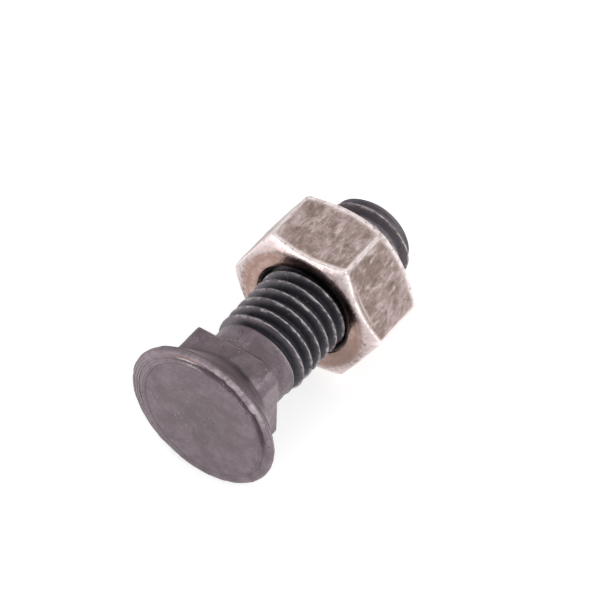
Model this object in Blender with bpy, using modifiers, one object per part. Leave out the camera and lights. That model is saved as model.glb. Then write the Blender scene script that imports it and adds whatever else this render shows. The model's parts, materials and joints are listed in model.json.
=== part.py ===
# Plow bolt with its hex nut, M12, at real size.
#
# The bolt is one cold-forged piece: a flat round head with a slightly raised face, a countersunk
# underside, a square neck that keeps it from turning, a short plain shank and a rolled thread.
# The nut is a separate piece, screwed part of the way on.
#
# Both pieces are built about the bolt's own axis, local +Z, with the head's face at Z = 0 and the
# thread's end at Z = BOLT_LENGTH. The empty "bolt_axis" then lays them down as they come to rest:
# the axis runs along world +Y, and the head's rim and one flat of the nut touch the floor, Z = 0.

import math

import bmesh
import bpy
from mathutils import Matrix, Vector

MM = 0.001

# Head
HEAD_DIAMETER = 20.5 * MM
FACE_DIAMETER = 17.6 * MM            # raised middle of the head's face
FACE_STEP = 0.35 * MM                # how far the rim lies behind that face
FACE_EDGE_ROUND = 0.15 * MM
RIM_THICKNESS = 0.85 * MM
CONE_HALF_ANGLE = math.radians(45.0)

# Square neck
NECK_WIDTH = 12.0 * MM               # across flats
NECK_CORNER_RADIUS = 1.75 * MM
NECK_END = 8.2 * MM                  # station where the flats stop and fall away to the shank
NECK_FLAT_FALL = math.radians(45.0)  # slope of that fall, from the axis
NECK_TAIL_GAP = 0.2 * MM             # plain shank between the longest corner's tail and the thread
NECK_TURN = math.radians(0.0)        # turn of the flats from square with the nut's resting flat

# Shank and thread
BOLT_LENGTH = 37.5 * MM
THREAD_DIAMETER = 12.0 * MM
THREAD_PITCH = 1.75 * MM
SHANK_DIAMETER = 10.9 * MM           # rolled blank, about the thread's pitch diameter
THREAD_START = 10.6 * MM             # station where the plain shank stops
RUNOUT_LENGTH = 1.0 * MM
TIP_CHAMFER_DEPTH = 1.2 * MM
TIP_CHAMFER_LENGTH = 1.2 * MM
THREAD_TURN = math.radians(31.7)     # where round the axis the helix starts

# Nut
NUT_WALL = 3.5 * MM                  # metal between the thread's full diameter and a flat
NUT_HEIGHT = 10.0 * MM
NUT_STATION = 21.2 * MM              # its bearing face, measured from the head's face
NUT_FACE_SETBACK = 0.5 * MM          # from a flat to the bearing ring that the corner chamfer leaves
NUT_CHAMFER_ANGLE = math.radians(30.0)
NUT_COUNTERSINK_DEPTH = 0.9 * MM     # how much wider than the bore its mouths are, all round
NUT_CLEARANCE = 0.3 * MM             # running clearance between the bore and the thread's crests

# Basic profile of a metric thread, as shares of the pitch
THREAD_DEPTH_SHARE = 0.6134
CREST_FLAT_SHARE = 0.125
FLANK_ANGLE = math.radians(30.0)

# Facets
ROUND_STEPS = 48
THREAD_STEPS = 32
CORNER_SEGMENTS = 4
FACE_EDGE_SEGMENTS = 2
FACET_TURN = math.radians(0.85)      # keeps the facets of joined round pieces from lining up
ROUND_BEVEL = 0.5                    # bevel profile that is a true arc
OVERRUN = 1.0 * MM                   # how far a cutter or a joined piece runs past what it meets
RIDGE_ROOT_SINK = 0.2 * MM           # how deep the thread's ridge sits in its core
MERGE_DISTANCE = 0.01 * MM
SHARP_EDGE_ANGLE = math.radians(32.0)

THREAD_RADIUS = THREAD_DIAMETER / 2
THREAD_DEPTH = THREAD_DEPTH_SHARE * THREAD_PITCH
ROOT_RADIUS = THREAD_RADIUS - THREAD_DEPTH
SHANK_RADIUS = SHANK_DIAMETER / 2
HEAD_RADIUS = HEAD_DIAMETER / 2
RIM_MIDDLE = FACE_STEP + RIM_THICKNESS / 2
NECK_TOP = THREAD_START - NECK_TAIL_GAP
NECK_CORNER = NECK_WIDTH / math.sqrt(2.0) - NECK_CORNER_RADIUS * (math.sqrt(2.0) - 1.0)
NUT_WIDTH = THREAD_DIAMETER + 2.0 * NUT_WALL
NUT_CORNER_RADIUS = NUT_WIDTH / math.sqrt(3.0)
NUT_FACE_RADIUS = NUT_WIDTH / 2 - NUT_FACE_SETBACK
BORE_RADIUS = THREAD_RADIUS + NUT_CLEARANCE

# The ends of the neck's four corners, as the forging die left them: direction round the axis, how
# far short of the flats' end the corner starts to fall away, and the slope of its fall, from the axis.
NECK_CORNER_ENDS = (
    (math.radians(45.0), 3.0 * MM, math.radians(45.0)),
    (math.radians(135.0), 0.6 * MM, math.radians(39.0)),
    (math.radians(225.0), 1.4 * MM, math.radians(45.0)),
    (math.radians(315.0), 0.2 * MM, math.radians(80.0)),
)


def clear_scene():
    for old in list(bpy.data.objects):
        bpy.data.objects.remove(old, do_unlink=True)


def new_collection(name):
    collection = bpy.data.collections.new(name)
    bpy.context.scene.collection.children.link(collection)
    return collection


def steel(name, colour, roughness, metallic):
    material = bpy.data.materials.new(name)
    material.use_nodes = True
    shader = material.node_tree.nodes["Principled BSDF"]
    shader.inputs["Base Color"].default_value = (*colour, 1.0)
    shader.inputs["Roughness"].default_value = roughness
    shader.inputs["Metallic"].default_value = metallic
    return material


def make_object(name, mesh, collection):
    piece = bpy.data.objects.new(name, mesh)
    collection.objects.link(piece)
    return piece


def as_cutter(piece):
    piece.hide_render = True
    piece.display_type = "WIRE"
    return piece


def round_direction(angle):
    """Unit direction round the axis: 0 is the side that ends up on top, 90 degrees is world +X."""
    return Vector((math.sin(angle), -math.cos(angle), 0.0))


def add_screw(piece, steps, turns=1, rise=0.0):
    screw = piece.modifiers.new("turn", "SCREW")
    screw.axis = "Z"
    screw.angle = 2.0 * math.pi
    screw.screw_offset = rise
    screw.iterations = turns
    screw.steps = steps
    screw.render_steps = steps
    screw.use_merge_vertices = rise == 0.0
    screw.merge_threshold = MERGE_DISTANCE


def turned(name, profile, collection, facet_turn=0.0):
    """Solid of revolution from (radius, station) points that run down the outer side, top to bottom."""
    mesh = bpy.data.meshes.new(name)
    points = [(radius * math.cos(facet_turn), radius * math.sin(facet_turn), station)
              for radius, station in profile]
    mesh.from_pydata(points, [(i, i + 1) for i in range(len(points) - 1)], [])
    piece = make_object(name, mesh, collection)
    add_screw(piece, ROUND_STEPS)
    return piece


def add_boolean(piece, operation, other):
    boolean = piece.modifiers.new(other.name, "BOOLEAN")
    boolean.operation = operation
    boolean.solver = "EXACT"
    boolean.object = other


def evaluated_mesh(piece):
    bpy.context.view_layer.update()
    depsgraph = bpy.context.evaluated_depsgraph_get()
    return bpy.data.meshes.new_from_object(piece.evaluated_get(depsgraph))


def settle(piece, material):
    """Turn the live modifiers into the piece's own mesh, smooth but for its real edges."""
    mesh = evaluated_mesh(piece)
    mesh.name = piece.name
    piece.modifiers.clear()
    piece.data = mesh
    mesh.materials.clear()
    mesh.materials.append(material)
    mesh.shade_smooth()
    mesh.set_sharp_from_angle(angle=SHARP_EDGE_ANGLE)
    return piece


def arc(centre, radius, start, stop, count):
    """Points (radius, station) along an arc in the profile plane, angles from the outward direction."""
    points = []
    for i in range(count + 1):
        angle = start + (stop - start) * i / count
        points.append((centre[0] + radius * math.cos(angle), centre[1] + radius * math.sin(angle)))
    return points


def head_and_shank(collection):
    """Turned blank: raised face, rim, countersunk underside and plain shank, from the shank's end down."""
    rim_round = RIM_THICKNESS / 2
    cone_start = (HEAD_RADIUS - rim_round + rim_round * math.sin(CONE_HALF_ANGLE),
                  RIM_MIDDLE + rim_round * math.cos(CONE_HALF_ANGLE))
    cone_end_station = cone_start[1] + (cone_start[0] - SHANK_RADIUS) / math.tan(CONE_HALF_ANGLE)
    face_edge = (FACE_DIAMETER / 2 - FACE_EDGE_ROUND, FACE_EDGE_ROUND)
    profile = [(0.0, THREAD_START + RUNOUT_LENGTH),
               (ROOT_RADIUS - RIDGE_ROOT_SINK, THREAD_START + RUNOUT_LENGTH),
               (SHANK_RADIUS, THREAD_START),
               (SHANK_RADIUS, cone_end_station)]
    profile += arc((HEAD_RADIUS - rim_round, RIM_MIDDLE), rim_round,
                   math.pi / 2 - CONE_HALF_ANGLE, -math.pi / 2, CORNER_SEGMENTS)
    profile += [(FACE_DIAMETER / 2, FACE_STEP)]
    profile += arc(face_edge, FACE_EDGE_ROUND, 0.0, -math.pi / 2, FACE_EDGE_SEGMENTS)
    profile += [(0.0, 0.0)]
    return as_cutter(turned("head_and_shank", profile, collection))


def end_cutter(name, direction, fall_radius, fall_station, slope, collection):
    """Wedge that takes the neck's end off on one side, along a face that falls to inside the shank."""
    inner = SHANK_RADIUS - OVERRUN
    outer = NECK_CORNER + OVERRUN
    rise = math.cos(slope) / math.sin(slope)
    inner_station = fall_station + (fall_radius - inner) * rise
    outer_station = fall_station + (fall_radius - outer) * rise
    top = max(NECK_TOP, inner_station) + OVERRUN
    outline = [(inner, inner_station), (outer, outer_station), (outer, top), (inner, top)]
    bm = bmesh.new()
    outward = round_direction(direction)
    sideways = Vector((0.0, 0.0, 1.0)).cross(outward)
    start = -sideways * NECK_WIDTH
    face = bm.faces.new([bm.verts.new(outward * r + Vector((0.0, 0.0, z)) + start) for r, z in outline])
    swept = bmesh.ops.extrude_face_region(bm, geom=[face])
    moved = [item for item in swept["geom"] if isinstance(item, bmesh.types.BMVert)]
    bmesh.ops.translate(bm, verts=moved, vec=sideways * 2.0 * NECK_WIDTH)
    bmesh.ops.recalc_face_normals(bm, faces=bm.faces)
    mesh = bpy.data.meshes.new(name)
    bm.to_mesh(mesh)
    bm.free()
    return as_cutter(make_object(name, mesh, collection))


def square_neck(collection):
    """Square prism with rounded corners, its end cut back at each flat and, more or less, each corner."""
    base = RIM_MIDDLE + RIM_THICKNESS
    bm = bmesh.new()
    bmesh.ops.create_cube(bm, size=1.0)
    bmesh.ops.scale(bm, vec=(NECK_WIDTH, NECK_WIDTH, NECK_TOP - base), verts=bm.verts)
    bmesh.ops.translate(bm, vec=(0.0, 0.0, (NECK_TOP + base) / 2), verts=bm.verts)
    upright = [edge for edge in bm.edges
               if abs(edge.verts[0].co.z - edge.verts[1].co.z) > (NECK_TOP - base) / 2]
    bmesh.ops.bevel(bm, geom=upright, offset=NECK_CORNER_RADIUS, segments=CORNER_SEGMENTS,
                    profile=ROUND_BEVEL, affect="EDGES")
    bmesh.ops.rotate(bm, cent=(0.0, 0.0, 0.0), matrix=Matrix.Rotation(NECK_TURN, 3, "Z"), verts=bm.verts)
    mesh = bpy.data.meshes.new("square_neck")
    bm.to_mesh(mesh)
    bm.free()
    neck = as_cutter(make_object("square_neck", mesh, collection))
    for number, (corner, short, slope) in enumerate(NECK_CORNER_ENDS, start=1):
        ends = (("neck_flat_end", corner - math.pi / 4, NECK_WIDTH / 2, NECK_END, NECK_FLAT_FALL),
                ("neck_corner_end", corner, NECK_CORNER, NECK_END - short, slope))
        for name, direction, radius, station, fall in ends:
            cutter = end_cutter("%s_%d" % (name, number), direction + NECK_TURN, radius, station, fall,
                                collection)
            add_boolean(neck, "DIFFERENCE", cutter)
    return neck


def thread_ridge(collection):
    """One tooth of the thread carried round the axis on a right-hand helix, closed at both ends."""
    inner = ROOT_RADIUS - RIDGE_ROOT_SINK
    crest_half = CREST_FLAT_SHARE * THREAD_PITCH / 2
    root_half = crest_half + (THREAD_RADIUS - inner) * math.tan(FLANK_ANGLE)
    turns = math.ceil((BOLT_LENGTH - THREAD_START) / THREAD_PITCH) + 1
    start = THREAD_START - THREAD_PITCH / 2
    outline = [(THREAD_RADIUS, crest_half), (THREAD_RADIUS, -crest_half),
               (inner, -root_half), (inner, root_half)]
    mesh = bpy.data.meshes.new("thread_ridge")
    mesh.from_pydata([(r, 0.0, start + z) for r, z in outline], [(0, 1), (1, 2), (2, 3), (3, 0)], [])
    guide = make_object("thread_guide", mesh, collection)
    add_screw(guide, THREAD_STEPS, turns, THREAD_PITCH)
    ridge_mesh = evaluated_mesh(guide)
    bpy.data.objects.remove(guide, do_unlink=True)
    bm = bmesh.new()
    bm.from_mesh(ridge_mesh)
    bmesh.ops.holes_fill(bm, edges=[edge for edge in bm.edges if edge.is_boundary], sides=len(outline))
    bmesh.ops.rotate(bm, cent=(0.0, 0.0, 0.0), matrix=Matrix.Rotation(THREAD_TURN, 3, "Z"), verts=bm.verts)
    bmesh.ops.recalc_face_normals(bm, faces=bm.faces)
    bm.to_mesh(ridge_mesh)
    bm.free()
    return as_cutter(make_object("thread_ridge", ridge_mesh, collection))


def thread_envelope(collection):
    """Turned limit of the thread: run-out beside the plain shank, full diameter, and the chamfered end."""
    full_radius = THREAD_RADIUS + OVERRUN
    profile = [(0.0, BOLT_LENGTH),
               (THREAD_RADIUS - TIP_CHAMFER_DEPTH, BOLT_LENGTH),
               (full_radius, BOLT_LENGTH - TIP_CHAMFER_LENGTH * (1.0 + OVERRUN / TIP_CHAMFER_DEPTH)),
               (full_radius, THREAD_START + RUNOUT_LENGTH + OVERRUN),
               (SHANK_RADIUS - RIDGE_ROOT_SINK / 2, THREAD_START),
               (SHANK_RADIUS - RIDGE_ROOT_SINK / 2, THREAD_START - OVERRUN),
               (0.0, THREAD_START - OVERRUN)]
    return as_cutter(turned("thread_envelope", profile, collection, FACET_TURN))


def bolt(parts, cutters):
    """The whole forging: threaded core, then the head and shank, then the neck."""
    profile = [(0.0, BOLT_LENGTH + OVERRUN), (ROOT_RADIUS, BOLT_LENGTH + OVERRUN),
               (ROOT_RADIUS, THREAD_START - OVERRUN), (0.0, THREAD_START - OVERRUN)]
    piece = turned("plow_bolt", profile, parts, 3.0 * FACET_TURN)
    add_boolean(piece, "UNION", thread_ridge(cutters))
    add_boolean(piece, "INTERSECT", thread_envelope(cutters))
    add_boolean(piece, "UNION", head_and_shank(cutters))
    add_boolean(piece, "UNION", square_neck(cutters))
    return settle(piece, steel("dark_forged_steel", (0.16, 0.138, 0.148), 0.5, 0.5))


def nut_envelope(collection):
    """Turned limit of the nut: both faces, and the chamfer that takes its corners off."""
    outer = NUT_CORNER_RADIUS + OVERRUN
    drop = (outer - NUT_FACE_RADIUS) * math.tan(NUT_CHAMFER_ANGLE)
    top = NUT_STATION + NUT_HEIGHT
    profile = [(0.0, top), (NUT_FACE_RADIUS, top), (outer, top - drop),
               (outer, NUT_STATION + drop), (NUT_FACE_RADIUS, NUT_STATION), (0.0, NUT_STATION)]
    return as_cutter(turned("nut_envelope", profile, collection))


def nut_bore(collection):
    """Turned cutter for the nut's hole, with a 90 degree countersink at each face."""
    bottom = NUT_STATION
    top = NUT_STATION + NUT_HEIGHT
    mouth = BORE_RADIUS + NUT_COUNTERSINK_DEPTH + OVERRUN
    profile = [(0.0, top + OVERRUN), (mouth, top + OVERRUN), (BORE_RADIUS, top - NUT_COUNTERSINK_DEPTH),
               (BORE_RADIUS, bottom + NUT_COUNTERSINK_DEPTH), (mouth, bottom - OVERRUN),
               (0.0, bottom - OVERRUN)]
    return as_cutter(turned("nut_bore", profile, collection))


def hex_nut(parts, cutters):
    """Hexagonal bar cut to height, chamfered at both faces and bored."""
    bm = bmesh.new()
    bmesh.ops.create_cone(bm, cap_ends=True, cap_tris=False, segments=6, radius1=NUT_CORNER_RADIUS,
                          radius2=NUT_CORNER_RADIUS, depth=NUT_HEIGHT + 2.0 * OVERRUN)
    bmesh.ops.translate(bm, vec=(0.0, 0.0, NUT_STATION + NUT_HEIGHT / 2), verts=bm.verts)
    first = bm.verts[:][0].co
    to_side = math.atan2(first.y, first.x)
    bmesh.ops.rotate(bm, cent=(0.0, 0.0, 0.0), matrix=Matrix.Rotation(-to_side, 3, "Z"), verts=bm.verts)
    mesh = bpy.data.meshes.new("hex_nut")
    bm.to_mesh(mesh)
    bm.free()
    piece = make_object("hex_nut", mesh, parts)
    add_boolean(piece, "INTERSECT", nut_envelope(cutters))
    add_boolean(piece, "DIFFERENCE", nut_bore(cutters))
    return settle(piece, steel("bare_nut_steel", (0.4, 0.33, 0.3), 0.42, 0.75))


def resting_tilt():
    """Angle of the axis when the head's rim and the far end of a nut flat both touch the floor."""
    flat_drop = NUT_FACE_SETBACK * math.tan(NUT_CHAMFER_ANGLE)
    flat_end = NUT_STATION + NUT_HEIGHT - flat_drop
    return math.atan2(HEAD_RADIUS - NUT_WIDTH / 2, flat_end - RIM_MIDDLE)


def lowest_and_middle(pieces):
    """Lowest Z and the middle of X and Y of the evaluated pieces, in world space."""
    bpy.context.view_layer.update()
    depsgraph = bpy.context.evaluated_depsgraph_get()
    points = []
    for piece in pieces:
        solid = piece.evaluated_get(depsgraph)
        points += [solid.matrix_world @ vertex.co for vertex in solid.data.vertices]
    low = Vector([min(point[axis] for point in points) for axis in range(3)])
    high = Vector([max(point[axis] for point in points) for axis in range(3)])
    middle = (low + high) / 2
    return Vector((middle.x, middle.y, low.z))


def lay_down(pieces):
    """Parent the pieces to an empty on the bolt's axis, and lay it on the floor about the origin."""
    axis = bpy.data.objects.new("bolt_axis", None)
    bpy.context.scene.collection.objects.link(axis)
    for piece in pieces:
        piece.parent = axis
    axis.rotation_euler = (-(math.pi / 2 + resting_tilt()), 0.0, 0.0)
    axis.location = -lowest_and_middle(pieces)
    bpy.context.view_layer.update()


clear_scene()
part_collection = new_collection("plow_bolt")
cutter_collection = new_collection("cutters")
plow_bolt = bolt(part_collection, cutter_collection)
nut = hex_nut(part_collection, cutter_collection)
lay_down([plow_bolt, nut])
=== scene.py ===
import json
import math

import bmesh
import bpy
import numpy as np
from mathutils import Matrix, Vector


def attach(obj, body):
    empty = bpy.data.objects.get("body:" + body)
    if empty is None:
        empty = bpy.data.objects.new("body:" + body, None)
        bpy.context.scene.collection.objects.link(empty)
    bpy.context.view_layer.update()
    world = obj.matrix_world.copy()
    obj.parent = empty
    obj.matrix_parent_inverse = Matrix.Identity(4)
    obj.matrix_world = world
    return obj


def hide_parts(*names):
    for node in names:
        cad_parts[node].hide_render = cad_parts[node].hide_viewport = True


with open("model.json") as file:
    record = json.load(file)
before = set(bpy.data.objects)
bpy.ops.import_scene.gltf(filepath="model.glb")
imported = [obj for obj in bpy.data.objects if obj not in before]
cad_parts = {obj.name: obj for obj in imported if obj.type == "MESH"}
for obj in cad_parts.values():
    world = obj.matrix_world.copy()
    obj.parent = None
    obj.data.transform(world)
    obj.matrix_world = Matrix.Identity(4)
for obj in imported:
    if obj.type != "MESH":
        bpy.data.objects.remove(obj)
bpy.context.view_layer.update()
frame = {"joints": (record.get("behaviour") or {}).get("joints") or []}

# The bolt is one cold-forged piece of dark, self-coloured steel: a flat round head with a raised
# middle and a beaded rim, a countersunk underside, a square neck and a rolled M12 thread. Lengths are
# in millimetres along the axis from the head's face; angles go round it from the top towards +X.
MM = 0.001
nut_joint = frame["joints"][0]
nut_middle_station = 26.2                # where the nut's joint lies on the axis
axis = np.array(nut_joint["axis"])
top_side = np.array([0.0, -axis[2], axis[1]])
right_side = np.array([1.0, 0.0, 0.0])
face_centre = np.array(nut_joint["pos_m"]) / MM - nut_middle_station * axis

rim_radius, shank_radius, cone_apex = 10.235, 5.45, 11.2
neck_half, neck_end = 6.0, 8.9
sharp_corner, front_corner, front_facet = 7.99, 7.1, 6.94
along_axis = 1000.0                      # the fall of a cut that runs along the axis
# The planes that cut the neck back: the way each faces, its distance from the axis, the station where it
# starts to fall and the length along the axis in which it falls by a millimetre, how soft its edges are and
# how bright they are painted, partly as wear and partly as painted highlight
neck_cuts = (
    (0.0, neck_half, 7.5, 0.75, 0.12, 0.5),
    (90.0, neck_half, 7.5, 0.6, 0.1, 1.0),
    (180.0, neck_half, 8.0, 1.0, 0.1, 0.3),
    (270.0, neck_half, 7.9, 0.6, 0.1, 0.3),
    (33.0, front_facet, 0.0, along_axis, 0.3, 0.0),
    (57.0, front_facet, 0.0, along_axis, 0.06, 0.15),
    (45.0, front_corner, 7.5, 0.6, 0.08, 0.12),
    (135.0, sharp_corner, 7.5, 1.235, 0.1, 0.3),
    (225.0, sharp_corner, 6.8, 1.0, 0.1, 0.2),
    (315.0, sharp_corner, 7.95, 0.176, 0.3, 1.0),
)
pitch, crest_radius, root_radius = 1.75, 6.0, 4.927
half_crest, flank = 0.055, 0.34          # half the flat of a crest and the run of a flank, in pitches
crests_start, grooves_start, full_thread = 10.9, 11.25, 11.8
bolt_length, tip_radius = 37.5, 4.8
helix_start = 9.1105                     # station of a crest on the top side, below the thread's start
helix_turns = 15
pitch_shares = np.array([0.0, 0.03, 0.055, 0.08, 0.16, 0.28, 0.37, 0.42, 0.5,
                         0.58, 0.63, 0.72, 0.84, 0.92, 0.945, 0.97, 1.0])
columns = 200


def place(angle, radius, station):
    """World points in metres: centre of the head's face + station along the axis + radius in the
    direction that angle gives, measured from the top side towards +X."""
    outward = np.cos(angle)[..., None] * top_side + np.sin(angle)[..., None] * right_side
    return (face_centre + radius[..., None] * outward + station[..., None] * axis) * MM


def smaller(a, b, width):
    """The smaller of a and b, rounded where they cross: half of a + b less the root of their
    difference squared plus width squared."""
    return (a + b - np.sqrt((a - b) ** 2 + width ** 2)) / 2


def larger(a, b, width):
    """The larger of a and b, rounded where they cross."""
    return -smaller(-a, -b, width)


def ease(x):
    """0 below 0, 1 above 1, and 3x squared less 2x cubed between."""
    x = np.clip(x, 0.0, 1.0)
    return x * x * (3.0 - 2.0 * x)


def near(x, middle, width):
    """1 at the middle, falling to 0 at a width from it on either side."""
    return ease(1.0 - np.abs(x - middle) / width)


def unevenness(angle, station, seed):
    """Slow waves over the surface, about -1 to 1: the sum of seven sines of whole turns round the
    axis, each with its own drift along it."""
    waves = ((2, 0.31), (3, -0.57), (5, 0.83), (8, -1.31), (11, 1.9), (17, -2.7), (26, 3.9))
    return sum(np.sin(n * angle + drift * station + seed * n * 1.7) for n, drift in waves) / 3.5


def rounded_polygon(angle, sides, half, corner_round):
    """Distance from the centre to a polygon with rounded corners and a flat at angle 0: half over the
    cosine from the nearest flat, or the corner's own arc close to the corner."""
    wedge = math.pi / sides
    from_flat = np.abs((angle + wedge) % (2 * wedge) - wedge)
    from_corner = wedge - from_flat
    arc_centre = (half - corner_round) / math.cos(wedge)
    arc = arc_centre * np.cos(from_corner) + np.sqrt(
        np.maximum(corner_round ** 2 - (arc_centre * np.sin(from_corner)) ** 2, 0.0))
    arc_start = np.arctan2((half - corner_round) * math.tan(wedge), half)
    return np.where(from_flat > arc_start, arc, half / np.cos(from_flat))


def past_crest(angle, station):
    """Distance along the axis from the middle of the nearest crest, in pitches, less than 0 on the
    head's side of it."""
    along = (station - helix_start) / pitch - angle / (2 * math.pi)
    return along - np.round(along)


def thread_height(angle, station):
    """0 at the root of the thread and 1 at its crest: 1 less the distance past the crest's flat over
    the flank's length, with both corners rounded."""
    beside = np.abs(past_crest(angle, station))
    return smaller(larger(1.0 - (beside - half_crest) / flank, 0.0, 0.08), 1.0, 0.02)


def cone_and_neck(angle, station):
    """Radius of the countersunk underside, radius of the square neck with its ends cut back, and how
    near each point of the neck is to an edge where a cut begins."""
    cone = cone_apex - station + 0.05 * unevenness(angle, station, 1.0)
    front = near(angle, math.radians(45.0), math.radians(45.0))
    neck = rounded_polygon(angle, 4, neck_half, 1.2 + 0.9 * front) + 0.025 * unevenness(angle, station, 2.0)
    edges = np.zeros_like(neck)
    for direction, reach, start, fall, softness, edge_brightness in neck_cuts:
        facing = np.cos(angle - math.radians(direction))
        limit = np.clip((reach - (station - start) / fall) / np.maximum(facing, 0.2), 0.0, 20.0)
        edges = np.maximum(edges * (limit > neck - 0.1), edge_brightness * near(neck, limit, 0.16) * (facing > 0.3))
        neck = np.where(facing > 0.3, smaller(neck, limit, softness), neck)
    return cone, neck, edges


def bolt_radius(angle, station):
    """Radius of the bolt behind the head's rim: the cone, the neck and the shank, whichever stands
    out, then the thread, whose crests and grooves grow in over the run-out at their own rates, cut by
    the chamfer at the end."""
    cone, neck, edges = cone_and_neck(angle, station)
    blank = larger(larger(neck, shank_radius, 0.15), cone, 0.3)
    chipped = 0.06 * ease(unevenness(5.0 * angle, 3.0 * station, 3.0) - 0.1)
    thread = root_radius + (crest_radius - root_radius) * thread_height(angle, station) * (1.0 - chipped)
    thread += 0.02 * unevenness(3.0 * angle, station, 8.0)
    raised = ease((station - crests_start) / 1.6) * np.maximum(thread - shank_radius, 0.0)
    sunk = ease((station - grooves_start) / 0.55) * np.maximum(shank_radius - thread, 0.0)
    return smaller(blank + raised - sunk, tip_radius + (bolt_length - station), 0.1)


def all_round(values):
    """A row for each value, the same all the way round the bolt."""
    return np.repeat(np.array(values)[:, None], columns + 1, axis=1)


# The head's rows, as radius and station: raised face, its edge, the crevice behind it, the rim's bead
turn = np.linspace(0.0, 2 * math.pi, columns + 1)
share = turn / (2 * math.pi)
face_r = np.concatenate([[0.0], np.linspace(0.7, 7.6, 12), np.linspace(7.68, 8.56, 12)])
edge_inner, edge_round = 8.66, 0.14
edge_bend = np.linspace(0.0, math.pi / 2, 5)
edge_r = edge_inner + edge_round * np.sin(edge_bend)
edge_z = edge_round - edge_round * np.cos(edge_bend)
crevice_r, crevice_z = [8.84, 8.93, 9.06, 9.22], [0.38, 0.51, 0.50, 0.43]
bead_middle_r, bead_middle_z, bead_round, bead_top = 9.765, 0.68, 0.47, 0.21
bead_bend = np.linspace(math.radians(-52.0), math.radians(150.0), 17)
bead_r = bead_middle_r + bead_round * np.sin(bead_bend)
bead_z = bead_middle_z - bead_round * np.cos(bead_bend)
head_r = np.concatenate([face_r, edge_r, crevice_r, bead_r])
head_z = np.concatenate([np.zeros_like(face_r), edge_z, crevice_z, bead_z])
head_rows = len(head_r)

# Behind the head the rows go straight round as far as the shank, then they follow the thread
cone_z = np.concatenate([np.linspace(1.22, 7.2, 54), np.linspace(7.28, 9.03, 22)])
helix_end = helix_start + helix_turns * pitch
station = np.concatenate([
    all_round(head_z),
    all_round(cone_z),
    helix_start + pitch * pitch_shares[:, None] * share,
    (helix_start + pitch * (np.arange(helix_turns)[:, None] + pitch_shares[1:]).reshape(-1, 1)
     + pitch * share),
    helix_end + pitch * (pitch_shares[1:, None] + share * (1.0 - pitch_shares[1:, None])),
    all_round([37.2, 37.3, 37.38, 37.44]),
])
angle = np.broadcast_to(turn, station.shape)
radius = bolt_radius(angle, station)

# The rim is worn out of round and knobbly, and its crevice is deep only at the upper right
on_rim = ease((head_r - 8.4) / 1.2)[:, None]
rim_wear = 0.035 * (1.0 + unevenness(turn, 0.0, 4.0)) + 0.06 * ease(unevenness(3 * turn, 0.0, 5.0) - 0.1)
radius[:head_rows] = head_r[:, None] - on_rim * rim_wear
radius = np.minimum(radius, rim_radius)
round_top = (turn + math.pi) % (2 * math.pi) - math.pi
deep = 0.12 + 0.88 * ease((round_top + 0.2) / 0.35) * ease((2.0 - round_top) / 0.9)
in_crevice = ((head_r > 8.7) & (head_r < 9.6))[:, None]
filled = bead_top + (station[:head_rows] - bead_top) * deep
station[:head_rows] = np.where(in_crevice, filled, station[:head_rows])
knobs = 0.05 * unevenness(turn, 0.0, 6.0) + 0.11 * unevenness(4.0 * turn, 0.0, 9.0) * deep
knobbly = ease((head_r - 8.9) / 0.3)[:, None] * ease((10.1 - radius[:head_rows]) / 0.3)
station[:head_rows] += knobbly * knobs
station[:head_rows] = np.maximum(station[:head_rows], 0.0)

end_r = [4.78, 4.6, 4.2, 3.0, 1.5, 0.0]
station = np.concatenate([station, all_round([bolt_length] * len(end_r))])
radius = np.concatenate([radius, all_round(end_r)])
angle = np.broadcast_to(turn, station.shape)

# Where the bolt is oxide black and darkened by painted shade, worn and brightened by painted highlights,
# darkened by painted shade in hollows, pale in places and lighter by painted light, brown and darkened by
# painted shade, rusty, threaded or lined, from 0 to 1
degrees = np.degrees((angle + math.pi) % (2 * math.pi)) - 180.0
head_degrees = degrees[0]
cone, neck, neck_edges = cone_and_neck(angle, station)
on_neck = ease((station - 1.4) / 0.4) * ease((neck_end - station) / 0.4)
# Painted shade: the thread's oxide-black grooves and flanks are darkened more away from the left side, where
# the light falls, and less near the tip, where the ridges catch painted highlights
root_oxide_and_shade = ease((5.5 - radius) / 0.25) * ease((station - crests_start) / 0.4)
root_oxide_and_shade = root_oxide_and_shade * (0.7 + 0.3 * ease((degrees + 75.0) / 50.0))
root_oxide_and_shade = root_oxide_and_shade * np.maximum(ease((station - full_thread) / 0.8), ease((degrees + 55.0) / 40.0))
ridge_oxide_and_shade = 0.05 + 0.4 * ease((5.9 - radius) / 0.4) + 0.5 * ease((degrees + 70.0) / 85.0)
oxide_and_shade = np.maximum(root_oxide_and_shade, ridge_oxide_and_shade * ease((station - full_thread) / 1.4))
oxide_and_shade = oxide_and_shade * (1.0 - 0.7 * ease((station - 32.5) / 2.0))

# A crest is painted bright along its edge on the head's side, and in places along the other one too: partly
# rubbed wear, partly painted highlight on the lit edge
beside_crest = past_crest(angle, station)
sway = 0.02 * unevenness(angle, 0.7 * station, 15.0)
both_edges = 0.25 + 0.6 * ease(unevenness(angle, 0.4 * station, 11.0))
crest = near(beside_crest, -0.05 - sway, 0.042) + both_edges * near(beside_crest, 0.05 - sway, 0.034)
crest = crest * ease((station - 11.2) / 1.4) * ease((37.0 - station) / 0.6)
broken = 0.6 + 0.5 * unevenness(2.0 * angle, 0.5 * station, 12.0) - 0.5 * near(degrees, -70.0, 70.0)
# A painted highlight runs along the end of the shank on its upper right side
shank_end_highlight = 1.2 * near(beside_crest, 0.17, 0.06) * near(station, 11.6, 0.9)
shank_end_highlight = shank_end_highlight * ease((degrees - 10.0) / 40.0) * ease((150.0 - degrees) / 30.0)

head_highlight, painted_shade, painted_light_and_pale, rust = (np.zeros_like(station) for _ in range(4))
on_face = (np.arange(len(station)) < len(face_r) + len(edge_r))[:, None]
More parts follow.
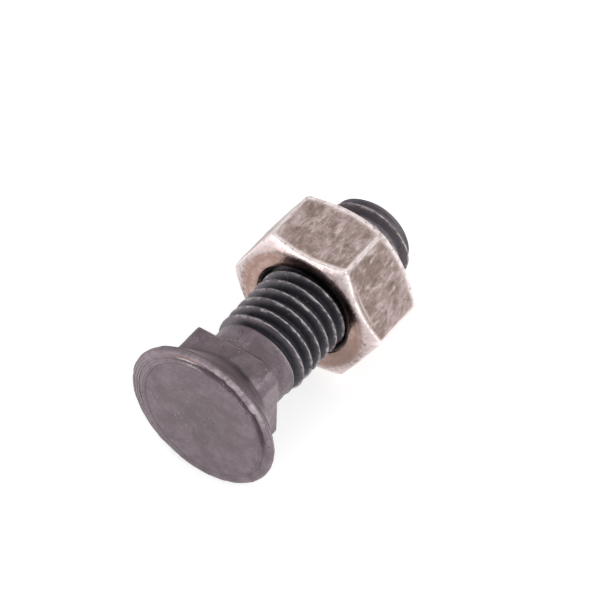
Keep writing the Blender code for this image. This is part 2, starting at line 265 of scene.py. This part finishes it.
# Painted highlights on the head: a faint line round the raised face's edge, strongest at the top, and a
# bright line on the bead near the top
face_edge_highlight = near(radius, 8.78, 0.16) * on_face
head_highlight += face_edge_highlight * (0.05 + 0.5 * near(degrees, -8.0, 14.0))
head_highlight[:head_rows] += 2.2 * near(head_r, 9.43, 0.15)[:, None] * near(head_degrees, -5.0, 20.0)

# On the bead the upper half is painted lighter and brighter, as painted light and painted highlights, in
# nicks and smears of about a millimetre
nicks = ease(0.5 + unevenness(4.0 * turn, 0.0, 13.0) + 0.5 * unevenness(7.0 * turn, 0.0, 2.0))
bead_side = np.zeros((head_rows, 1))
bead_side[-len(bead_bend):, 0] = near(bead_bend, math.radians(45.0), math.radians(80.0))
back_edge_lit = (near(head_r, 10.1, 0.15) * (head_z > 0.7))[:, None] * near(head_degrees, 78.0, 30.0)
head_highlight[:head_rows] += 0.38 * bead_side * near(head_degrees, 32.0, 60.0) * nicks + back_edge_lit
painted_light_and_pale[:head_rows] = bead_side * (0.15 + near(head_degrees, 22.0, 85.0) * (0.5 + 0.5 * nicks))
rust[:head_rows] = near(head_r, 9.65, 0.5)[:, None] * near(head_degrees, -12.0, 22.0)
# Painted shade in the crevice behind the raised face, deepest where the crevice is deep, and a thin line of
# painted shade at the raised face's edge
painted_shade[:head_rows] = near(head_r, 9.0, 0.27)[:, None] * (head_z > 0.25)[:, None] * (0.15 + 0.7 * deep)
face_line = 8.62 - 0.7 * near(degrees, -92.0, 95.0)
line_strength = 0.45 + 0.5 * near(degrees % 360.0, 225.0, 110.0)
painted_shade += near(radius, face_line, 0.12) * on_face * line_strength

# The neck is pale in patches on its front corner, its right flat is made lighter by painted light, and its
# upper flat is brown and darkened by painted shade
patch = ease(1.4 * near(degrees, 42.0, 12.0) * near(station, 4.2, 1.8))
patch += (0.6 * near(degrees, 47.0, 5.0) * near(station, 6.6, 0.8)
          + 0.5 * near(degrees, 60.0, 6.0) * near(station, 6.4, 1.0))
facet = ease((degrees - 44.5) / 2.0) * ease((62.0 - degrees) / 2.0)
right_flat_light = 0.6 * ease((degrees - 58.0) / 5.0) * ease((135.0 - degrees) / 20.0)
painted_light_and_pale += on_neck * (0.85 * patch + 0.1 * facet + right_flat_light)
# Painted light on the lit side: the left of the shank where the thread begins, the top of the countersunk
# underside and the left of the head's rim
painted_light_and_pale += 0.6 * near(degrees, -50.0, 60.0) * near(station, 10.0, 1.6)
painted_light_and_pale += 0.35 * near(degrees, -5.0, 40.0) * near(station, 2.6, 1.7) * (cone > neck)
left_rim_light = np.minimum(1.5 * near(head_degrees, -85.0, 85.0), 1.0)
painted_light_and_pale[:head_rows] += left_rim_light * np.minimum(1.5 * near(head_r, 9.2, 1.3), 1.0)[:, None]
bare_neck = on_neck * ease((neck - cone + 0.1) / 0.3)
# Wear and painted highlights together: the crests, the shank's end, the neck's edges and the head's
# highlights
worn_and_highlit = np.clip(1.3 * crest * broken + shank_end_highlight + neck_edges * bare_neck + head_highlight, 0.0, 1.0)
# Painted shade in the crease between the countersunk underside and the neck, strongest at the upper right
crease_shade = np.where(cone > neck, ease(1.0 - (cone - neck) / 2.3), ease(1.0 - (neck - cone) / 0.4))
crease_shade = crease_shade * on_neck * (station < 6.5) * (0.1 + 0.9 * near(degrees, 30.0, 38.0))
painted_shade = np.clip(painted_shade + 0.7 * crease_shade, 0.0, 1.0)
# Painted shade in a brown tone over the neck's upper flat and the countersunk underside at the upper right;
# the head's face is browner towards its middle, and the shank is browner in a band away from its left side
flat_shade = ease((degrees + 50.0) / 50.0) * (1.0 - ease((degrees - 43.5) / 2.0))
brown_and_shade = on_neck * np.maximum(0.7 * flat_shade, near(degrees, 32.0, 45.0) * ease((cone - neck) / 0.3))
brown_and_shade += (near(radius, 1.0, 6.5) * on_face
          + 0.35 * near(station, 9.7, 1.3) * ease((degrees + 40.0) / 60.0))
threaded = ease((station - 11.2) / 0.6)
lined = near(degrees, -98.0, 70.0) * np.minimum(1.6 * near(radius, 9.05, 1.35), 1.0) * (station < 1.0)


def new_object(name, data):
    """An object in the scene that shows a mesh, a light or a camera."""
    made = bpy.data.objects.new(name, data)
    bpy.context.scene.collection.objects.link(made)
    return made


def grid_piece(name, points, values):
    """A closed mesh from rows of points: the seam, the poles and the rows that meet are welded, faces
    are smooth, and each named array of values becomes an attribute of the points."""
    rows, row_length = points.shape[:2]
    first = (np.arange(rows - 1)[:, None] * row_length + np.arange(row_length - 1)).reshape(-1)
    faces = np.stack([first, first + 1, first + row_length + 1, first + row_length], axis=1)
    mesh = bpy.data.meshes.new(name)
    mesh.from_pydata(points.reshape(-1, 3), [], faces.tolist())
    for key, value in values.items():
        mesh.attributes.new(key, "FLOAT", "POINT").data.foreach_set("value", value.reshape(-1))
    bm = bmesh.new()
    bm.from_mesh(mesh)
    bmesh.ops.remove_doubles(bm, verts=bm.verts, dist=5e-8)
    bmesh.ops.recalc_face_normals(bm, faces=bm.faces)
    bm.to_mesh(mesh)
    bm.free()
    mesh.shade_smooth()
    return new_object(name, mesh)


def add(tree, kind, where=None, **settings):
    """A node of that kind; settings are its properties, and where gives its sockets' values or links."""
    made = tree.nodes.new(kind)
    for key, value in settings.items():
        setattr(made, key, value)
    for key, value in (where or {}).items():
        if isinstance(value, bpy.types.NodeSocket):
            tree.links.new(value, made.inputs[key])
        else:
            made.inputs[key].default_value = value
    return made


def calc(tree, operation, *values):
    """The result of a math node for these values, numbers or links."""
    return add(tree, "ShaderNodeMath", dict(enumerate(values)), operation=operation).outputs[0]


def step_up(tree, value, start, stop):
    """0 up to start and 1 from stop on, eased between; with start above stop it falls as value rises."""
    return add(tree, "ShaderNodeMapRange", {0: value, 1: start, 2: stop},
               interpolation_type="SMOOTHSTEP").outputs[0]


def noise(tree, spot, scale, detail, roughness=0.5, distortion=0.0):
    """Cloudy noise, from 0 to 1: how fine it is, how many finer layers it has and how much they count."""
    return add(tree, "ShaderNodeTexNoise", {"Vector": spot, "Scale": scale, "Detail": detail,
                                            "Roughness": roughness, "Distortion": distortion}).outputs[0]


def dots(tree, spot, scale, edge, core):
    """Round dots, one to a cell: 0 at edge from the cell's point, 1 at core from it."""
    cells = add(tree, "ShaderNodeTexVoronoi", {"Vector": spot, "Scale": scale})
    return step_up(tree, cells.outputs["Distance"], edge, core)


def blend_colour(tree, amount, low, high):
    """Low where amount is 0 and high where it is 1."""
    return add(tree, "ShaderNodeMix", {0: amount, 6: low, 7: high}, data_type="RGBA").outputs[2]


def coats(tree, colour, layers):
    """A colour with others over it, from the lowest up: where each lies, how well it covers, its colour."""
    for amount, cover, coat in layers:
        colour = blend_colour(tree, calc(tree, "MULTIPLY", amount, cover), colour, coat)
    return colour


def masks(tree, *names):
    """The values that the points of the mesh carry under these names."""
    return {name: add(tree, "ShaderNodeAttribute", attribute_name=name).outputs["Fac"] for name in names}


def new_material(name, roughness, metallic):
    """A material, its nodes and its shader."""
    material = bpy.data.materials.new(name)
    material.use_nodes = True
    shader = material.node_tree.nodes["Principled BSDF"]
    shader.inputs["Roughness"].default_value = roughness
    shader.inputs["Metallic"].default_value = metallic
    return material, material.node_tree, shader


def new_group(name, inputs, outputs):
    """An empty node group and what its inputs give; all are numbers but Place, which is a point."""
    group = bpy.data.node_groups.new(name, "ShaderNodeTree")
    for socket in inputs:
        kind = "NodeSocketVector" if socket == "Place" else "NodeSocketFloat"
        group.interface.new_socket(socket, in_out="INPUT", socket_type=kind)
    for socket in outputs:
        group.interface.new_socket(socket, in_out="OUTPUT", socket_type="NodeSocketFloat")
    return group, add(group, "NodeGroupInput").outputs


def steel_skin():
    """Node group for a forged or rolled steel skin: a slow mottle, a fine grain, streaks along the
    axis, sparse pits and sparse bright specks, with the height that they give the surface."""
    group, given = new_group("steel skin", ("Place", "Blotch size"),
                             ("Mottle", "Grain", "Streak", "Pits", "Specks", "Height"))
    spot = given["Place"]
    mottle = step_up(group, noise(group, spot, given["Blotch size"], 5.0, 0.62), 0.36, 0.66)
    grain = noise(group, spot, 5200.0, 3.0, 0.6)
    drawn = add(group, "ShaderNodeMapping", {"Vector": spot, "Scale": (1.0, 0.35, 1.0)}).outputs[0]
    streak = step_up(group, noise(group, drawn, 1300.0, 6.0, 0.75), 0.46, 0.60)
    sparse = noise(group, spot, 420.0, 2.0)
    pits = calc(group, "MULTIPLY", dots(group, spot, 1500.0, 0.26, 0.1), step_up(group, sparse, 0.5, 0.62))
    specks = calc(group, "MULTIPLY", dots(group, spot, 2300.0, 0.2, 0.08), step_up(group, sparse, 0.46, 0.34))
    height = calc(group, "MULTIPLY_ADD", mottle, 1.5, grain)
    height = calc(group, "MULTIPLY_ADD", streak, -0.5, height)
    height = calc(group, "MULTIPLY_ADD", pits, -1.6, height)
    add(group, "NodeGroupOutput", {"Mottle": mottle, "Grain": grain, "Streak": streak, "Pits": pits,
                                   "Specks": specks, "Height": height})
    return group


def brightened_metal():
    """Node group for the places painted bright, by wear and as painted highlight: the mask, broken up by the
    grain.
    """
    group, given = new_group("brightened metal", ("Mask", "Grain"), ("Amount",))
    broken = step_up(group, given["Grain"], 0.38, 0.56)
    add(group, "NodeGroupOutput", {"Amount": calc(group, "MULTIPLY", given["Mask"], broken)})
    return group


def ring_lines():
    """Node group for fine lines round the axis: a sine of the distance from it over their spacing,
    made unsteady by the grain."""
    group, given = new_group("ring lines", ("Distance", "Spacing", "Grain"), ("Line",))
    turns = calc(group, "DIVIDE", given["Distance"], given["Spacing"])
    turns = calc(group, "MULTIPLY_ADD", given["Grain"], 0.25, turns)
    wave = calc(group, "SINE", calc(group, "MULTIPLY", turns, 2 * math.pi))
    add(group, "NodeGroupOutput", {"Line": step_up(group, wave, -0.2, 1.0)})
    return group


skin, brightening, rings = steel_skin(), brightened_metal(), ring_lines()
bolt_steel, tree, shader = new_material("dark forged steel", 0.46, 0.55)
mask = masks(tree, "oxide_and_shade", "worn_and_highlit", "painted_shade", "brown_and_shade", "painted_light_and_pale", "lined", "threaded", "rust", "reach")
spot = add(tree, "ShaderNodeTexCoord").outputs["Object"]
surface = add(tree, "ShaderNodeGroup", {"Place": spot, "Blotch size": 380.0}, node_tree=skin).outputs
grain = surface["Grain"]
brightened = add(tree, "ShaderNodeGroup", {"Mask": mask["worn_and_highlit"], "Grain": calc(tree, "ADD", grain, 0.06)},
             node_tree=brightening).outputs["Amount"]
lines = add(tree, "ShaderNodeGroup", {"Distance": mask["reach"], "Spacing": 0.32,
                                      "Grain": surface["Mottle"]}, node_tree=rings).outputs["Line"]
line = calc(tree, "MULTIPLY", mask["lined"], lines)
flecks = calc(tree, "MULTIPLY", mask["rust"], step_up(tree, grain, 0.47, 0.55))
colour = blend_colour(tree, surface["Mottle"], (0.158, 0.117, 0.136, 1), (0.240, 0.185, 0.216, 1))
colour = coats(tree, colour, (
    (mask["brown_and_shade"], 0.5, (0.125, 0.099, 0.094, 1)),
    (mask["painted_light_and_pale"], 0.75, (0.40, 0.328, 0.363, 1)),
    (surface["Streak"], 0.35, (0.12, 0.097, 0.102, 1)),
    (line, 1.0, (0.09, 0.072, 0.078, 1)),
    (step_up(tree, grain, 0.6, 0.4), 0.3, (0.10, 0.082, 0.088, 1)),
    (mask["threaded"], 0.65, (0.20, 0.184, 0.203, 1)),
    (mask["oxide_and_shade"], 1.0, (0.017, 0.016, 0.025, 1)),
    (mask["painted_shade"], 0.9, (0.020, 0.015, 0.015, 1)),
    (flecks, 1.0, (0.30, 0.13, 0.085, 1)),
    (surface["Pits"], 0.6, (0.05, 0.042, 0.042, 1)),
    (brightened, 1.0, (0.72, 0.66, 0.66, 1)),
    (surface["Specks"], 1.0, (0.5, 0.46, 0.45, 1)),
))
tree.links.new(colour, shader.inputs["Base Color"])
tree.links.new(calc(tree, "MULTIPLY_ADD", brightened, -0.14, 0.46), shader.inputs["Roughness"])
height = calc(tree, "MULTIPLY_ADD", line, -4.0, surface["Height"])
relief = add(tree, "ShaderNodeBump", {"Strength": 0.5, "Distance": 0.00006, "Height": height})
tree.links.new(relief.outputs[0], shader.inputs["Normal"])

bolt = grid_piece("forged_bolt", place(angle, radius, station), {
    "oxide_and_shade": oxide_and_shade, "worn_and_highlit": worn_and_highlit, "painted_shade": painted_shade, "brown_and_shade": np.clip(brown_and_shade, 0.0, 1.0),
    "painted_light_and_pale": np.clip(painted_light_and_pale, 0.0, 1.0), "lined": lined, "threaded": threaded, "rust": rust,
    "reach": radius})
bolt.data.materials.append(bolt_steel)
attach(bolt, "bolt")
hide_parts("plow_bolt")

# The nut is a separate hexagon of bare, tarnished steel, forged and chamfered at both faces, with a
# countersunk thread. It is screwed part of the way on and turns on its own body.
nut_front, nut_height = 21.2, 10.0
nut_half_width, nut_face_radius, nut_corner_round = 9.5, 9.0, 0.8
chamfer_rise = math.tan(math.radians(30.0))
mouth_radius, bore_radius, bore_start, groove_depth = 6.75, 6.15, 0.7, 0.75
nut_columns = 360


def bend(start, corner, end, count):
    """Rows along the curve that rounds a corner: start, corner and end weighted by (1-t) squared,
    2t(1-t) and t squared."""
    t = np.linspace(0.0, 1.0, count)[:, None]
    return [(1 - t) ** 2 * a + 2 * t * (1 - t) * b + t ** 2 * c for a, b, c in zip(start, corner, end)]


nut_turn = np.linspace(0.0, 2 * math.pi, nut_columns + 1)
full = np.ones((1, nut_columns + 1))
hex_r = rounded_polygon(nut_turn, 6, nut_half_width, nut_corner_round)[None, :]
flat_z = (hex_r - nut_face_radius) * chamfer_rise


def half_nut(softness):
    """Radius and depth below its face of half the nut, from the bore over the face and the chamfer to
    the middle of the flats; softness is how far the chamfer's outer edge is rounded."""
    rows = [
        (np.array([[bore_radius + 0.02], [6.4]]) * full, np.array([[bore_start], [0.4]]) * full),
        bend((6.68 * full, 0.12 * full), (mouth_radius * full, 0.0 * full), (6.88 * full, 0.0 * full), 4),
        (np.array([[7.3], [7.8], [8.2]]) * full, np.zeros((3, 1)) * full),
        bend((8.45 * full, 0.0 * full), (nut_face_radius * full, 0.0 * full),
             (9.1 * full, 0.1 * chamfer_rise * full), 6),
        bend((hex_r - softness, flat_z - softness * chamfer_rise), (hex_r, flat_z),
             (hex_r, flat_z + softness), 8)]
    rows += [(hex_r, flat_z + down) for down in (0.55, 0.75, 1.1, 1.6, 2.2)]
    rows += [(hex_r, down * full) for down in (3.6, 4.3)]
    return np.concatenate([r for r, z in rows]), np.concatenate([z for r, z in rows])


front_r, front_z = half_nut(0.2)
back_r, back_z = half_nut(0.38)
bore_z = np.linspace(nut_height - bore_start, bore_start, 76)[1:-1, None] * full
bore_angle = np.broadcast_to(nut_turn, bore_z.shape)
bore_r = bore_radius + groove_depth * (1.0 - thread_height(bore_angle, bore_z + nut_front))
nut_r = np.concatenate([front_r, back_r[::-1], bore_r, front_r[:1]])
nut_z = np.concatenate([front_z, nut_height - back_z[::-1], bore_z, front_z[:1]])
nut_angle = np.broadcast_to(nut_turn, nut_r.shape)
outside = ease((nut_r - 9.2) / 0.3)
nut_r = nut_r - outside * 0.035 * (1.0 + unevenness(nut_angle, nut_z, 7.0))

# Where the nut is worn at an edge and painted with a highlight on its top chamfer, bright on its chamfers,
# dark in its bore, ringed, painted with shade on the lower right of its face and with a painted reflection of
# the thread at the upper right
on_front = nut_z < nut_height / 2
from_face = np.minimum(nut_z, nut_height - nut_z)
from_corner = np.abs((nut_angle % (math.pi / 3)) - math.pi / 6) * nut_r
on_side = ease((nut_r - 9.15) / 0.1)
front_edge = near(from_face, flat_z + 0.05, 0.3)
nut_round = (nut_angle + math.pi) % (2 * math.pi) - math.pi
back_edge = 1.2 * near(from_face, flat_z + 0.2, 0.8) * (nut_z > nut_height / 2)
scrape = 0.6 * near(from_face - flat_z, 0.75, 0.2)
scrape = scrape * near(nut_round, math.radians(60.0), math.radians(28.0)) * on_front
# A painted highlight along the front chamfer on the nut's top side
top_chamfer_highlight = ease((nut_r - 8.7) / 0.5) * near(from_face, flat_z - 0.15, 0.5) * near(nut_round, 0.1, 1.2)
edge = on_side * np.clip(1.6 * near(from_corner, 0.0, 0.48) + front_edge + back_edge + scrape, 0.0, 1.0)
edge = np.clip(edge + top_chamfer_highlight, 0.0, 1.0)
chamfer = ease((nut_r - 8.6) / 0.3) * ease((flat_z + 0.1 - from_face) / 0.15)
inside = ease((6.55 - nut_r) / 0.12)
ring = ease((nut_r - 6.45) / 0.1) * ease((8.85 - nut_r) / 0.35) * (from_face < 0.3)
# Painted shade on the lower right of the bearing face
ring_shade = ring * near(np.degrees(nut_angle), 128.0, 60.0)
# A painted reflection of the dark thread, with painted shade, on the bearing face at the upper right near the
# bore
painted_reflection = ease((nut_r - 6.4) / 0.1) * ease((8.5 - nut_r) / 0.25) * near(nut_round, 0.5, 1.0) * (nut_z < 0.3)

nut_steel, tree, shader = new_material("tarnished nut steel", 0.4, 0.92)
mask = masks(tree, "edge", "chamfer", "inside", "ring", "ring_shade", "painted_reflection", "reach")
spot = add(tree, "ShaderNodeTexCoord").outputs["Object"]
surface = add(tree, "ShaderNodeGroup", {"Place": spot, "Blotch size": 330.0}, node_tree=skin).outputs
stain = noise(tree, spot, 360.0, 9.0, 0.75, 0.4)
across_flats = add(tree, "ShaderNodeMapping", {"Vector": spot, "Rotation": (0.0, 0.0, 0.7),
                                               "Scale": (1.0, 0.4, 1.0)}).outputs[0]
scuff = noise(tree, across_flats, 1500.0, 7.0, 0.66)
brightened = add(tree, "ShaderNodeGroup", {"Mask": mask["edge"], "Grain": calc(tree, "ADD", scuff, 0.05)},
             node_tree=brightening).outputs["Amount"]
lines = add(tree, "ShaderNodeGroup", {"Distance": mask["reach"], "Spacing": 1.3,
                                      "Grain": surface["Mottle"]}, node_tree=rings).outputs["Line"]
line = calc(tree, "MULTIPLY", mask["ring"], lines)
blush = calc(tree, "MULTIPLY", mask["ring"], step_up(tree, stain, 0.46, 0.56))
mottled = calc(tree, "MULTIPLY", mask["chamfer"], step_up(tree, scuff, 0.66, 0.42))
colour = blend_colour(tree, surface["Mottle"], (0.36, 0.27, 0.245, 1), (0.50, 0.39, 0.385, 1))
colour = coats(tree, colour, (
    (step_up(tree, stain, 0.44, 0.60), 0.75, (0.23, 0.165, 0.135, 1)),
    (step_up(tree, scuff, 0.50, 0.70), 0.6, (0.14, 0.10, 0.088, 1)),
    (step_up(tree, scuff, 0.50, 0.32), 0.8, (0.66, 0.55, 0.535, 1)),
    (mask["ring"], 0.8, (0.52, 0.36, 0.31, 1)),
    (line, 0.4, (0.27, 0.18, 0.15, 1)),
    (blush, 0.6, (0.36, 0.215, 0.175, 1)),
    (mask["ring_shade"], 0.75, (0.24, 0.165, 0.14, 1)),
    (mottled, 0.85, (0.60, 0.485, 0.48, 1)),
    (mask["painted_reflection"], 0.9, (0.05, 0.042, 0.044, 1)),
    (brightened, 1.0, (0.95, 0.84, 0.83, 1)),
    (mask["inside"], 1.0, (0.035, 0.031, 0.033, 1)),
))
tree.links.new(colour, shader.inputs["Base Color"])
rough = calc(tree, "MULTIPLY_ADD", stain, 0.3, 0.24)
rough = calc(tree, "MULTIPLY_ADD", mask["ring"], -0.27, rough)
rough = calc(tree, "MULTIPLY_ADD", mask["chamfer"], -0.1, rough)
tree.links.new(rough, shader.inputs["Roughness"])
tree.links.new(calc(tree, "MULTIPLY_ADD", mask["ring"], 0.08, 0.92), shader.inputs["Metallic"])
off_ring = calc(tree, "MULTIPLY_ADD", mask["ring"], -0.85, 1.0)
relief = add(tree, "ShaderNodeBump", {"Strength": 0.4, "Distance": 0.00008,
                                      "Height": calc(tree, "MULTIPLY", surface["Height"], off_ring)})
tree.links.new(relief.outputs[0], shader.inputs["Normal"])

nut = grid_piece("forged_nut", place(nut_angle, nut_r, nut_z + nut_front), {
    "edge": edge, "chamfer": np.clip(chamfer, 0.0, 1.0), "inside": inside, "ring": ring,
    "ring_shade": ring_shade, "painted_reflection": np.clip(1.6 * painted_reflection, 0.0, 1.0), "reach": nut_r})
nut.data.materials.append(nut_steel)
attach(nut, "nut")
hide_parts("hex_nut")

# The floor is a plain sheet of white paper, lit so well that the camera and the metal see it near
# white. It takes the bolt's soft shadow.
floor_mesh = bpy.data.meshes.new("floor")
floor_mesh.from_pydata([(-2, -2, 0), (2, -2, 0), (2, 2, 0), (-2, 2, 0)], [], [(0, 1, 2, 3)])
floor = new_object("floor", floor_mesh)
paper, tree, shader = new_material("white paper", 0.9, 0.0)
shader.inputs["Base Color"].default_value = (0.7, 0.7, 0.7, 1.0)
shader.inputs["Emission Color"].default_value = (1.0, 1.0, 1.0, 1.0)
rays = add(tree, "ShaderNodeLightPath").outputs
seen = calc(tree, "MAXIMUM", rays["Is Camera Ray"], rays["Is Glossy Ray"])
seen = calc(tree, "MAXIMUM", seen, rays["Is Transmission Ray"])
tree.links.new(calc(tree, "MULTIPLY", seen, 0.55), shader.inputs["Emission Strength"])
floor_mesh.materials.append(paper)

# Soft studio light: a pale room, a little lighter overhead and on the +X side, and three softboxes.
world = bpy.data.worlds.new("studio")
bpy.context.scene.world = world
world.use_nodes = True
tree = world.node_tree
way = add(tree, "ShaderNodeSeparateXYZ", {0: add(tree, "ShaderNodeTexCoord").outputs["Generated"]}).outputs
brightness = calc(tree, "MULTIPLY_ADD", way["X"], 0.06, 0.6)
brightness = calc(tree, "MULTIPLY_ADD", way["Z"], 0.05, brightness)
tree.links.new(brightness, tree.nodes["Background"].inputs["Strength"])
tree.nodes["Background"].inputs["Color"].default_value = (1.0, 1.0, 1.0, 1.0)


def softbox(name, place_at, size, power):
    """A rectangular area light that faces the bolt."""
    light = bpy.data.lights.new(name, "AREA")
    light.shape = "RECTANGLE"
    light.size, light.size_y = size
    light.energy = power
    lamp = new_object(name, light)
    lamp.location = place_at
    lamp.rotation_mode = "QUATERNION"
    lamp.rotation_quaternion = (Vector((0.0, 0.0, 0.01)) - Vector(place_at)).to_track_quat("-Z", "Y")


softbox("front softbox", (-0.24, -0.56, 0.12), (0.5, 0.2), 0.9)
softbox("side softbox", (0.5, -0.15, 0.32), (0.5, 0.5), 1.7)
softbox("top softbox", (-0.15, 0.2, 0.45), (0.4, 0.4), 0.4)

# The camera stands where the photograph was taken from: the way it looks, the point that it looks at,
# its distance from there in metres and its focal length in pixels of a picture this wide.
azimuth, elevation, roll = math.radians(34.285), math.radians(49.378), math.radians(0.672)
target, distance = Vector((0.003627, -0.004293, 0.021303)), 0.35168
focal_length, picture_width = 3000.0, 592.0
back = Vector((math.sin(azimuth) * math.cos(elevation), -math.cos(azimuth) * math.cos(elevation),
               math.sin(elevation)))
level = Vector((math.cos(azimuth), math.sin(azimuth), 0.0))
upright = back.cross(level)
across = level * math.cos(roll) + upright * math.sin(roll)
camera = new_object("camera", bpy.data.cameras.new("camera"))
camera.data.sensor_width = 36.0
camera.data.lens = focal_length / picture_width * camera.data.sensor_width
camera.data.clip_start, camera.data.clip_end = 0.01, 10.0
orientation = Matrix((across, back.cross(across), back)).transposed().to_4x4()
camera.matrix_world = Matrix.Translation(target + back * distance) @ orientation
bpy.context.scene.camera = camera
bpy.context.scene.view_settings.view_transform = "Standard"
